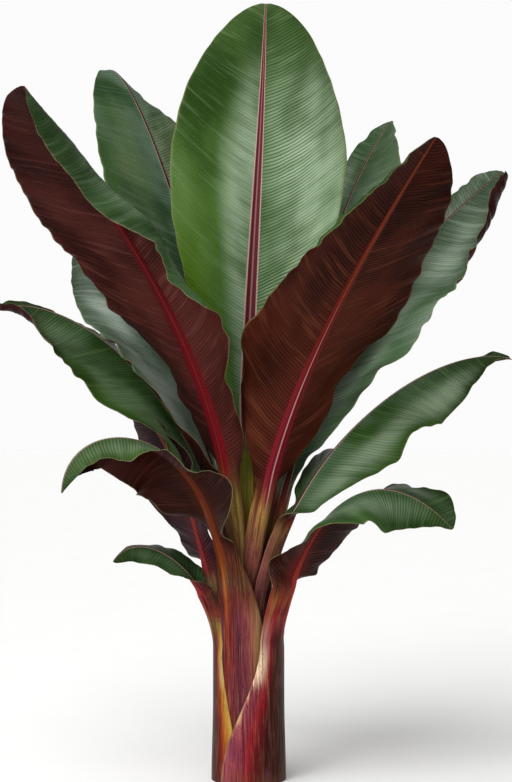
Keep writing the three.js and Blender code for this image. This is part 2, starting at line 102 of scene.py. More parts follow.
# Each leaf's foot and base are an azimuth, a distance from the stem's axis and a height. Start and
# end are the rib's directions there and at the tip, as an azimuth and a lean from upright, and pull
# how far each one carries. Facing is where the upper face looks, at the base and at the tip. Stalk
# is a length and a half width, widest a place along the blade, and full how blunt each end is.
# Gather and free are heights at which a sheath draws in and comes free of the stem.
# For the leaves that the photograph shows, a fitting program set most of the values to match the
# outlines there, and some were then changed. The three rear leaves were set one by one.
LEAVES = {
    "leaf_top": dict(
        base=(201, 10, 651), tip=(57, 123, 2429), start=(110, 3), end=(78, 8),
        pull=(0.34, 0.33), facing=(97, 96), stalk=(392, 36), widest=0.61, full=(1.0, 0.54),
        left=half(281, (16, 13, 12, 9, 8), (19, 9, -1, -6, -31), (8, 2.9, 0.11), bend=1.5),
        right=half(275, (13, 10, 7, 9, 19), (-10, 2, 15, 22, 13), (17, 3.1, 0.68), bend=1.8)),
    "leaf_rear_upright": dict(
        foot=(92, 60, 460), base=(90, 48, 640), tip=(30, 560, 1800), start=(90, 8), end=(88, 60),
        pull=(0.4, 0.35), facing=(88, 88), stalk=(300, 38), widest=0.52, full=(0.9, 0.55),
        left=half(215, (12, 6, 0, -5, -10), (0, 0, 0), (10, 3, 0.1)),
        right=half(215, (12, 6, 0, -5, -10), (0, 0, 0), (10, 3, 0.5))),
    "leaf_front_left": dict(
        foot=(235, 60, 450), base=(232, 50, 608), tip=(-605, -693, 2027),
        start=(234, 2), end=(261, 71),
        pull=(0.47, 0.34), facing=(224, 248), stalk=(315, 42), widest=0.51, full=(0.76, 0.67),
        left=half(234, (5, 11, 27, 6, 1), (14, -45, -119, -140, -180), (26, 3.7, 0.04), bend=1.1),
        right=half(258, (19, 8, 5, -1, -4), (6, 40, 6, -13, 7), (8, 4.4, 0.1))),
    "leaf_front_right": dict(
        foot=(290, 62, 440), base=(297, 48, 603), tip=(532, -519, 1914),
        start=(296, 7), end=(314, 42),
        pull=(0.34, 0.31), facing=(308, 309), stalk=(268, 46), widest=0.51, full=(0.97, 0.58),
        left=half(280, (10, 13, 5, -5, -13), (3, 5, 6, 2, 9), (20, 2.8, 0.28), bend=1.1),
        right=half(258, (33, 44, 4, 5, -8), (62, 65, 10, -84, -48), (12, 2.8, 0.25), bend=3.9)),
    "leaf_back_left": dict(
        foot=(130, 50, 540), base=(128, 34, 696), tip=(-484, 518, 2280),
        start=(118, 3), end=(139, 129),
        pull=(0.38, 0.09), facing=(121, 121), stalk=(244, 36), widest=0.48, full=(0.89, 0.51),
        left=half(248, (19, 13, 6, -2, -12), (-12, -8, -3, -5, 0), (6, 3.4, -0.09), bend=1.1),
        right=half(242, (17, 15, 9, -7, -35), (-4, -2, 0, -1, -14), (4, 3, 0.06), bend=0.8)),
    "leaf_back_right": dict(
        foot=(50, 50, 540), base=(40, 37, 616), tip=(475, 447, 2103), start=(41, 11), end=(47, 45),
        pull=(0.44, 0.23), facing=(45, 44), stalk=(320, 36), widest=0.51, full=(0.84, 0.65),
        left=half(184, (-4, -10, -13, -6, 12), (12, 0, -9, -7, -5), (8, 3, 0.11), bend=1.7),
        right=half(254, (24, 13, 3, -4, -1), (-4, -20, -26, -12, 45), (1, 3.1, 0.09), bend=1.0)),
    "leaf_right": dict(
        foot=(12, 82, 430), base=(31, 82, 615), tip=(854, 455, 1938), start=(42, 10), end=(18, 51),
        pull=(0.48, 0.28), facing=(53, 57), stalk=(271, 46), widest=0.52, full=(1.13, 0.38),
        left=half(253, (-21, -33, -34, -40, -13), (92, 66, 26, 1, 6), (9, 3.1, -0.13), bend=1.3),
        right=half(272, (8, 7, 3, -31, -16), (10, 3, 3, 114, 225), (15, 4.3, -0.03), bend=2.5)),
    "leaf_left": dict(
        foot=(150, 76, 460), base=(140, 66, 648), tip=(-537, 313, 1720),
        start=(153, 2), end=(156, 42),
        pull=(0.27, 0.33), facing=(169, 128), stalk=(231, 46), widest=0.41, full=(0.6, 0.55),
        left=half(263, (-9, 2, 4, 0, -6), (120, 40, 23, -35, -92), (4, 2.9, 0.29), bend=2.2),
        right=half(253, (-18, -17, -15, -8, 1), (-12, 0, 13, 20, 23), (3, 4.7, 0), bend=1.4)),
    "leaf_left_arching": dict(
        foot=(172, 71, 430), base=(153, 62, 581), tip=(-820, 111, 1454),
        start=(177, 3), end=(173, 108),
        pull=(0.4, 0.3), facing=(192, 193), stalk=(257, 46), widest=0.51, full=(0.68, 0.74),
        bends=True,
        left=half(208, (-45, -40, -53, -71, -36), (20, 27, 0, 87, 225), (7, 3.7, 0.23), bend=2.2),
        right=half(199, (34, 22, 11, -1, -6), (-12, -5, 1, 14, 48), (12, 3.2, 0.14), bend=1.2)),
    "leaf_right_arching": dict(
        foot=(326, 78, 430), base=(329, 71, 583), tip=(835, 99, 1300),
        start=(335, 11), end=(-16, 107),
        pull=(0.46, 0.22), facing=(-13, 3), stalk=(210, 51), widest=0.46, full=(1.0, 0.71),
        bends=True,
        left=half(206, (20, 3, -32, -36, -34), (-6, 27, -17, -5, 107), (12, 3.3, -0.28), bend=0.8),
        right=half(190, (-62, -64, -54, -60, -37), (20, -11, 12, -19, 91),
                   (20, 3.7, 0.33), bend=1.7)),
    "leaf_rear_arching": dict(
        foot=(76, 71, 430), base=(72, 74, 560), tip=(70, 800, 1250), start=(72, 6), end=(84, 118),
        pull=(0.5, 0.35), facing=(72, 84), stalk=(280, 38), widest=0.5, full=(0.9, 0.6),
        bends=True,
        left=half(190, (5, -8, -20, -28, -35), (0, 0, 0), (10, 3, 0.7)),
        right=half(190, (5, -8, -20, -28, -35), (0, 0, 0), (10, 3, 0.2))),
    "leaf_left_inner": dict(
        foot=(198, 88, 430), base=(184, 87, 520), tip=(-392, 61, 1210),
        start=(193, 19), end=(170, 45),
        pull=(0.38, 0.41), facing=(193, 214), stalk=(133, 60), widest=0.49, full=(0.48, 0.66),
        left=half(93, (11, 6, 2, -8, -16), (21, 7, 12, -4, -20), (4, 4.4, 0.89), bend=0.8),
        right=half(138, (-20, -21, -29, -27, -24), (6, 3, -27, 35, 9), (5, 2.5, -0.1), bend=0.8)),
    "leaf_front_drooping": dict(
        base=(231, RING_INNER, 485), tip=(-532, -406, 906), start=(207, 1), end=(103, 171),
        pull=(0.94, 0.37), facing=(243, 206), stalk=(225, 42), widest=0.37, full=(0.66, 0.81),
        sheath="sheath_front", gather=(380, 800), free=(600, 850),
        left=half(159, (-34, 8, -25, -31, -41), (-34, -5, 51, 11, -35),
                  (18, 3.5, 0.2), (75, 30), 2.9),
        right=half(155, (29, -30, -87, -80, -80), (39, -9, -1, 20, -17),
                   (24, 3.1, 0.03), (33, 24), 1.6)),
    "leaf_rear_drooping": dict(
        base=(110, RING_MIDDLE, 470), tip=(-60, 860, 900), start=(106, 4), end=(97, 150),
        pull=(0.62, 0.4), facing=(108, 96), stalk=(300, 38), widest=0.48, full=(0.85, 0.6),
        sheath="sheath_rear", gather=(330, 700), free=(560, 800),
        left=half(165, (0, -18, -35, -40, -45), (0, 0, 0), (8, 3, 0.4), (33, 28)),
        right=half(165, (0, -18, -35, -40, -45), (0, 0, 0), (8, 3, 0), (60, 30))),
    "leaf_left_small": dict(
        base=(195, RING_MIDDLE, 421), tip=(-409, -97, 679), start=(189, 4), end=(196, 149),
        pull=(0.59, 0.35), facing=(200, 204), stalk=(153, 46), widest=0.53, full=(0.6, 0.47),
        sheath="sheath_left",
        left=half(59, (12, -34, -53, -60, -62), (60, -2, -18, -16, -15),
                  (12, 2.6, -0.16), (62, 25), 0.8),
        right=half(98, (80, 50, 26, 4, -18), (37, -12, -23, -22, -19),
                   (6, 3.1, -0.15), (48, 40), 1.3)),
    "leaf_right_drooping": dict(
        base=(335, RING_OUTER, 437), tip=(623, -121, 780), start=(326, 10), end=(343, 138),
        pull=(0.74, 0.51), facing=(349, 358), stalk=(158, 84), widest=0.51, full=(0.64, 0.67),
        sheath="sheath_right",
        left=half(160, (-46, -52, -49, 19, 66), (33, 22, 46, -15, 73),
                  (5, 3, 0.45), (100, 70), 1.6),
        right=half(157, (81, 20, -24, -66, -53), (60, -40, -8, -28, 39),
                   (8, 2.8, 0.39), (110, 44), 1.6)),
}


def smooth(t):
    t = np.clip(t, 0.0, 1.0)
    return t * t * (3.0 - 2.0 * t)


def mix(a, b, share):
    return a + (b - a) * share


def unit(v):
    return v / np.maximum(np.linalg.norm(v, axis=-1, keepdims=True), 1e-12)


def angle_at(keys, t):
    """Smooth change between values spaced evenly from base to tip, in radians."""
    keys = np.array(keys, float)
    spot = t * (len(keys) - 1)
    index = np.minimum(spot.astype(int), len(keys) - 2)
    return np.radians(mix(keys[index], keys[index + 1], smooth(spot - index)))


def leaning(azimuth, lean):
    a = math.radians(azimuth)
    b = math.radians(lean)
    return np.array([math.sin(b) * math.cos(a), math.sin(b) * math.sin(a), math.cos(b)])


def flare_at(height):
    return 1 + FOOT_FLARE * (1 - smooth(height / WAIST_HEIGHT))


def wander(rng, x, wavelength):
    """A smooth random line of about unit height along x, from a few sine waves."""
    total = np.zeros_like(x)
    for share in (1.0, 0.61, 0.43):
        length = wavelength * share * rng.uniform(0.85, 1.2)
        total += share * np.sin(2 * np.pi * x / length + rng.uniform(0, 6.28))
    return total / 1.6


def place(azimuth, radius, height):
    a = math.radians(azimuth)
    return np.array([radius * math.cos(a), radius * math.sin(a), height])


def rib_line(leaf):
    """The rib's line, up the stem and then in one curve to the tip, and its length in the stem."""
    root = place(*leaf["base"])
    tip = np.array(leaf["tip"], float)
    chord = np.linalg.norm(tip - root)
    out = root + leaning(*leaf["start"]) * chord * leaf["pull"][0]
    back = tip - leaning(*leaf["end"]) * chord * leaf["pull"][1]
    u = np.linspace(0, 1, PATH_STEPS)[:, None]
    v = 1 - u
    path = v ** 3 * root + 3 * u * v ** 2 * out + 3 * u ** 2 * v * back + u ** 3 * tip
    if leaf.get("sheath") or leaf.get("foot"):
        foot = root * (1, 1, 0) if leaf.get("sheath") else place(*leaf["foot"])
        half_way = np.linalg.norm(root - foot) / 2
        rise = UP if leaf.get("sheath") else leaning(*leaf["start"])
        low = v ** 2 * foot + 2 * u * v * (root - rise * half_way) + u ** 2 * root
        path = np.concatenate([low[:-1], path])
    steps = np.linalg.norm(np.diff(path, axis=0), axis=1)
    gone = np.concatenate([[0], np.cumsum(steps)])
    return path, gone, gone[len(path) - PATH_STEPS]


def freed_at(leaf, at, stem):
    """0 where the leaf's base wraps the stem, 1 where it stands free."""
    low, high = leaf.get("free", (0.9 * stem, 1.25 * stem + 60))
    return smooth((at - low) / (high - low))


def half_outline(leaf, part, at, t, opened, stem, rng):
    """Each row's half width, fold, curl, half rib and share in the stem, for one half."""
    widest = leaf["widest"]
    from_end = np.where(t < widest, t / widest, (1 - t) / (1 - widest))
    full = np.where(t < widest, leaf["full"][0], leaf["full"][1])
    outline = np.sin(np.clip(from_end, 0, 1) * np.pi / 2) ** full
    stalk_width = leaf["stalk"][1] * (1 - smooth(t / 0.3))
    look = leaf["look"]
    ragged = 1 + look["ragged"] * wander(rng, at, RAGGED_LENGTH) * smooth(t / 0.15)
    blade_width = part["width"] * outline * ragged
    width = np.sqrt(stalk_width ** 2 + blade_width ** 2 + LEAST_WIDTH ** 2)
    fold = angle_at(part["fold"], t) * opened
    curl = angle_at(part["curl"], t) * opened + (1 - opened) * STALK_CURL
    in_stem = np.zeros_like(at)
    if stem > 0:
        freed = freed_at(leaf, at, stem)
        low, high = leaf.get("gather", (0, stem))
        wrap = np.radians(mix(*part["wrap"], smooth((at - low) / (high - low))))
        radius = leaf["base"][1] * flare_at(at) if leaf.get("sheath") else leaf["foot"][1]
        width = mix(wrap * radius, width, freed)
        curl = mix(wrap, curl, freed)
        in_stem = 1 - freed
    most = width / TIGHTEST_ROLL
    broad, fine_end, taper = look["rib"]
    rib = mix(STALK_RIB, mix(broad, fine_end, t ** taper), opened)
    return width, fold, np.clip(curl, -most, most), np.minimum(rib, RIB_SHARE * width), in_stem


def section_curve(width, fold, curl, rib, bend, opened, u):
    """Across, rise and slope at each column, summed up in fine steps from the rib outwards."""
    fine = np.linspace(0, 1, SECTION_STEPS + 1)[None, :]
    bent = mix(fine, fine ** bend, opened[:, None])
    spread = smooth(fine * width[:, None] / (RIB_COLUMNS[-1] * rib[:, None]))
    angle = fold[:, None] * spread + curl[:, None] * bent
    spot = np.clip(u * SECTION_STEPS, 0, SECTION_STEPS - 0.001)
    index = spot.astype(int)

    def summed(slope):
        steps = np.cumsum((slope[:, 1:] + slope[:, :-1]) / 2, axis=1)
        zero = np.zeros((len(slope), 1))
        return np.concatenate([zero, steps], axis=1) * width[:, None] / SECTION_STEPS

    def pick(table):
        low = np.take_along_axis(table, index, axis=1)
        high = np.take_along_axis(table, index + 1, axis=1)
        return mix(low, high, spot - index)

    return pick(summed(np.cos(angle))), pick(summed(np.sin(angle))), pick(angle)


def half_surface(leaf, part, at, stem, length, rng):
    """Section curves of one half: across, rise and distances, for each row and column."""
    blade_start = stem + leaf["stalk"][0]
    t = np.clip((at - blade_start) / (length - blade_start), 0, 1)
    opened = smooth(t / 0.09)
    width, fold, curl, rib, in_stem = half_outline(leaf, part, at, t, opened, stem, rng)
    near = np.array(RIB_COLUMNS)[None, :] * rib[:, None] / width[:, None]
    far = np.linspace(0, 1, BLADE_COLUMNS + 1)[None, 1:] ** 0.92
    u = np.concatenate([near, near[:, -1:] + (1 - near[:, -1:]) * far], axis=1)
    across, rise, angle = section_curve(width, fold, curl, rib, part["bend"], opened, u)
    out = u * width[:, None]
    vein = (at - blade_start)[:, None] - (VEIN_SLANT * out + out ** 2 / VEIN_BEND)
    depth, waves, phase = part["wave"]
    swell = depth * np.sin(2 * np.pi * (waves * t + phase)) * np.sin(np.pi * t) ** 0.6
    look = leaf["look"]
    ruffle = look["ruffle"] * wander(rng, vein, RUFFLE_LENGTH) * u ** 2.6
    pleat = look["pleat"] * wander(rng, vein, PLEAT_LENGTH) * np.sqrt(u) * (1 - 0.4 * u)
    off_ends = smooth(t / 0.12) * smooth((1 - t) / 0.05)
    lift = swell[:, None] * u ** 2 + (ruffle + pleat) * off_ends[:, None]
    return dict(across=across - lift * np.sin(angle), rise=rise + lift * np.cos(angle),
                u=u, out=out, vein=vein, rib=rib, t=t, opened=opened, in_stem=in_stem)


def leaf_rows(leaf, path, gone, stem):
    """Each row's distance along the rib, its point there, and its directions across and out."""
    length = gone[-1]
    blade_start = stem + leaf["stalk"][0]
    low_rows = int(ROWS * (0.36 if leaf.get("sheath") else 0.22))
    at = np.concatenate([
        np.linspace(0, blade_start, low_rows, endpoint=False),
        np.linspace(blade_start, length * 0.999, ROWS - low_rows)])

    def path_at(distance):
        return np.stack([np.interp(distance, gone, path[:, k]) for k in range(3)], axis=1)

    point = path_at(at)
    along = unit(path_at(at + 4) - path_at(at - 4))
    facing = mix(leaf["facing"][0], leaf["facing"][1], smooth(at / length))
    if stem > 0:
        held = leaf["base"][0] if leaf.get("sheath") else leaf["foot"][0]
        held += 360 * round((facing[0] - held) / 360)
        facing = mix(held, facing, freed_at(leaf, at, stem))
    facing = np.radians(facing)
    side = np.stack([np.sin(facing), -np.cos(facing), 0 * facing], axis=1)
    side = unit(side - along * np.sum(side * along, axis=1, keepdims=True))
    if leaf.get("sheath"):
        point[:, :2] *= flare_at(point[:, 2:3])
    return at, point, side, np.cross(side, along)


def leaf_faces(grid, u, ribness, t, opened, in_stem):
    """The upper and lower face, to each side of the leaf's middle surface."""
    normal = unit(np.cross(np.gradient(grid, axis=1), np.gradient(grid, axis=0)))
    blade_half = BLADE_HALF - BLADE_THINS * u ** 3
    stalk_half = STALK_HALF - STALK_THINS * u ** 2
    sheath_half = SHEATH_HALF - SHEATH_THINS * u ** 4
    half_thick = mix(mix(stalk_half, blade_half, opened), sheath_half, in_stem)
    keel = mix(STALK_KEEL, RIB_KEEL * (1 - t) * KEEL_SHARE, opened) * (1 - in_stem)
    bulge = keel * np.sqrt(np.clip(1 - (ribness / 1.35) ** 2, 0, 1))
    fades = (1 - 0.8 * t) * opened
    ridge = RIB_RIDGE * fades * np.exp(-((ribness - 0.95) / 0.35) ** 2)
    groove = RIB_GROOVE * fades * np.exp(-(ribness / 0.5) ** 2)
    middle = grid + normal * (in_stem * SHEATH_TUCK * u ** 4)[:, :, None]
    upper = middle + normal * (half_thick + ridge - groove)[:, :, None]
    lower = middle - normal * (half_thick + bulge)[:, :, None]
    return upper, lower


def leaf_mesh(name, leaf, rng):
    """One closed mesh for a blade with its stalk and, where it has one, its sheath."""
    path, gone, stem = rib_line(leaf)
    length = gone[-1]
    blade_start = stem + leaf["stalk"][0]
    at, point, side, face = leaf_rows(leaf, path, gone, stem)
    right = half_surface(leaf, leaf["right"], at, stem, length, rng)
    left = half_surface(leaf, leaf["left"], at, stem, length, rng)

    def both(key):
        return np.concatenate([left[key][:, :0:-1], right[key]], axis=1)

    def column(key):
        return right[key][:, None]

    u, out, vein = both("u"), both("out"), both("vein")
    left_columns = left["u"].shape[1] - 1
    right_columns = right["u"].shape[1]
    sign = np.concatenate([-np.ones(left_columns), np.ones(right_columns)])
    grid = (point[:, None, :] + side[:, None, :] * (both("across") * sign[None, :])[:, :, None]
            + face[:, None, :] * both("rise")[:, :, None])
    rib = np.concatenate([np.repeat(left["rib"][:, None], left_columns, axis=1),
                          np.repeat(column("rib"), right_columns, axis=1)], axis=1)
    ribness = out / rib
    upper, lower = leaf_faces(grid, u, ribness, column("t"), column("opened"), column("in_stem"))
    if leaf.get("sheath"):
        upper[0, :, 2] = 0.0
        lower[0, :, 2] = 0.0
    ring = np.concatenate([upper, lower[:, ::-1]], axis=1)
    along_share = np.where(at >= blade_start, (at - blade_start) / (length - blade_start),
                           (at - blade_start) / blade_start)

    def around(values):
        return np.concatenate([values, values[:, ::-1]], axis=1)

    data = {
        "leaf_c": around(vein) * MM,
        "leaf_d": around(out) * MM,
        "u": around(u),
        "a": np.repeat(along_share[:, None], ring.shape[1], axis=1),
        "upper": np.concatenate([np.ones_like(u), np.zeros_like(u)], axis=1),
        "rib": np.clip(around(ribness), 0, 6),
        "half": around(np.tile(sign[None, :], (len(at), 1))),
    }
    return ring_mesh(name, ring * MM, data)


def ring_faces(rows, count):
    """The quads of a closed skin with its two end caps, and where each lies on the bake map."""
    upto = count // 2
    i = np.arange(rows - 1)[:, None]
    j = np.arange(count)[None, :]
    k = (j + 1) % count
    quads = np.stack([i * count + j, i * count + k,
                      (i + 1) * count + k, (i + 1) * count + j], axis=-1)
    tall = 1 - 2 * CAP_BAND
    x0 = np.broadcast_to(j / count, (rows - 1, count))
    x1 = x0 + 1 / count
    y0 = np.broadcast_to(CAP_BAND + tall * i / (rows - 1), (rows - 1, count))
    y1 = y0 + tall / (rows - 1)
    bake = np.stack([np.stack([x0, y0], -1), np.stack([x1, y0], -1),
                     np.stack([x1, y1], -1), np.stack([x0, y1], -1)], axis=2)
    # Both faces are cut along the same diagonal, so that neither pokes through the other.
    quads[:, upto:] = np.roll(quads[:, upto:], -1, axis=2)
    bake[:, upto:] = np.roll(bake[:, upto:], -1, axis=2)
    caps = []
    cap_uv = []
    for base, outer, inner in ((0, 0.0, CAP_BAND), ((rows - 1) * count, 1.0, 1 - CAP_BAND)):
        for a in range(upto - 1):
            b = a + 1
            c, d = count - 2 - a, count - 1 - a
            corner = [a, d, c, b] if base == 0 else [a, b, c, d]
            spots = {a: (a / count, inner), b: (b / count, inner),
                     c: (b / count, outer), d: (a / count, outer)}
            caps.append([base + v for v in corner])
            cap_uv.append([spots[v] for v in corner])
    faces = np.concatenate([quads.reshape(-1, 4), np.array(caps)])
    return faces, np.concatenate([bake.reshape(-1, 4, 2), np.array(cap_uv)])


def ring_mesh(name, ring, data):
    """Joins rows of closed outlines, which run up one face and back along the other."""
    faces, bake = ring_faces(*ring.shape[:2])
    mesh = bpy.data.meshes.new(name)
    points = ring.reshape(-1, 3)
    mesh.vertices.add(len(points))
    mesh.vertices.foreach_set("co", points.astype(np.float32).ravel())
    mesh.loops.add(faces.size)
    mesh.loops.foreach_set("vertex_index", faces.astype(np.int32).ravel())
    mesh.polygons.add(len(faces))
    mesh.polygons.foreach_set("loop_start", np.arange(0, faces.size, 4, dtype=np.int32))
    mesh.polygons.foreach_set("use_smooth", np.ones(len(faces), dtype=bool))
    mesh.update(calc_edges=True)
    loops = faces.ravel()
    for title, x, y in (("LeafUV", "leaf_c", "leaf_d"), ("PlaceUV", "u", "a")):
        layer = mesh.uv_layers.new(name=title)
        pair = np.stack([data[x].ravel()[loops], data[y].ravel()[loops]], axis=1)
        layer.data.foreach_set("uv", pair.astype(np.float32).ravel())
    layer = mesh.uv_layers.new(name="OFBake")
    layer.data.foreach_set("uv", bake.astype(np.float32).ravel())
    for title in ("upper", "rib", "half"):
        attribute = mesh.attributes.new(title, "FLOAT", "POINT")
        attribute.data.foreach_set("value", data[title].astype(np.float32).ravel())
    mesh.validate()
    piece = bpy.data.objects.new(name, mesh)
    bpy.context.collection.objects.link(piece)
    return piece


def linear(code):
    """A colour written as six hex digits, in linear light."""
    parts = [int(code[k:k + 2], 16) / 255 for k in (0, 2, 4)]
    light = [p / 12.92 if p <= 0.04045 else ((p + 0.055) / 1.055) ** 2.4 for p in parts]
    return (*light, 1.0)


class Graph:
    """A material's nodes, made by short calls that return sockets."""

    def __init__(self, name):
        self.material = bpy.data.materials.new(name)
        self.material.use_nodes = True
        self.tree = self.material.node_tree
        self.tree.nodes.clear()

    def put(self, socket, value):
        if isinstance(value, bpy.types.NodeSocket):
            self.tree.links.new(value, socket)
        elif isinstance(value, str):
            socket.default_value = linear(value)
        else:
            socket.default_value = value

    def add(self, kind):
        return self.tree.nodes.new(kind)

    def attribute(self, name):
        node = self.add("ShaderNodeAttribute")
        node.attribute_name = name
        return node.outputs["Fac"]

    def uv(self, name):
        node = self.add("ShaderNodeUVMap")
        node.uv_map = name
        parts = self.add("ShaderNodeSeparateXYZ")
        self.tree.links.new(node.outputs[0], parts.inputs[0])
        return parts.outputs[0], parts.outputs[1]

    def math(self, kind, a, b=0.0):
        node = self.add("ShaderNodeMath")
        node.operation = kind
        for socket, value in zip(node.inputs, (a, b)):
            self.put(socket, value)
        return node.outputs[0]

    def times(self, a, b):
        return self.math("MULTIPLY", a, b)

    def plus(self, a, b):
        return self.math("ADD", a, b)

    def vector(self, x, y, z):
        node = self.add("ShaderNodeCombineXYZ")
        for socket, value in zip(node.inputs, (x, y, z)):
            self.put(socket, value)
        return node.outputs[0]

    def noise(self, vector, scale=1.0, detail=2.0, rough=0.5):
        node = self.add("ShaderNodeTexNoise")
        self.put(node.inputs["Vector"], vector)
        self.put(node.inputs["Scale"], scale)
        self.put(node.inputs["Detail"], detail)
        self.put(node.inputs["Roughness"], rough)
        return node.outputs["Fac"]

    def grain(self, x, x_scale, y, y_scale, z, detail=2.0, rough=0.5):
        """Noise with a scale of its own in each of two directions."""
        spot = self.vector(self.times(x, x_scale), self.times(y, y_scale), z)
        return self.noise(spot, detail=detail, rough=rough)

    def sway(self, noise, reach):
        """A noise moved to lie round zero, and then scaled."""
        return self.times(self.plus(noise, -0.5), reach)

    def step(self, value, low, high, to_low=0.0, to_high=1.0):
        node = self.add("ShaderNodeMapRange")
        node.interpolation_type = "SMOOTHSTEP"
        for socket, given in zip(node.inputs, (value, low, high, to_low, to_high)):
            self.put(socket, given)
        return node.outputs[0]

    def mix(self, share, a, b, kind="MIX"):
        node = self.add("ShaderNodeMix")
        node.data_type = "RGBA"
        node.blend_type = kind
        self.put(node.inputs[0], share)
        self.put(node.inputs[6], a)
        self.put(node.inputs[7], b)
        return node.outputs[2]

    def ramp(self, value, stops):
        node = self.add("ShaderNodeValToRGB")
        self.put(node.inputs[0], value)
        items = node.color_ramp.elements
        items[0].position, items[0].color = stops[0][0], linear(stops[0][1])
        items[1].position, items[1].color = stops[-1][0], linear(stops[-1][1])
        for spot, code in stops[1:-1]:
            items.new(spot).color = linear(code)
        return node.outputs[0]

    def finish(self, colour, roughness, height, distance, specular=0.5):
        bump = self.add("ShaderNodeBump")
        bump.inputs["Strength"].default_value = 1.0
        bump.inputs["Distance"].default_value = distance
        self.put(bump.inputs["Height"], height)
        shader = self.add("ShaderNodeBsdfPrincipled")
        self.put(shader.inputs["Base Color"], colour)
        self.put(shader.inputs["Roughness"], roughness)
        shader.inputs["Specular IOR Level"].default_value = specular
        self.tree.links.new(bump.outputs[0], shader.inputs["Normal"])
        output = self.add("ShaderNodeOutputMaterial")
        self.tree.links.new(shader.outputs[0], output.inputs[0])
        return self.material
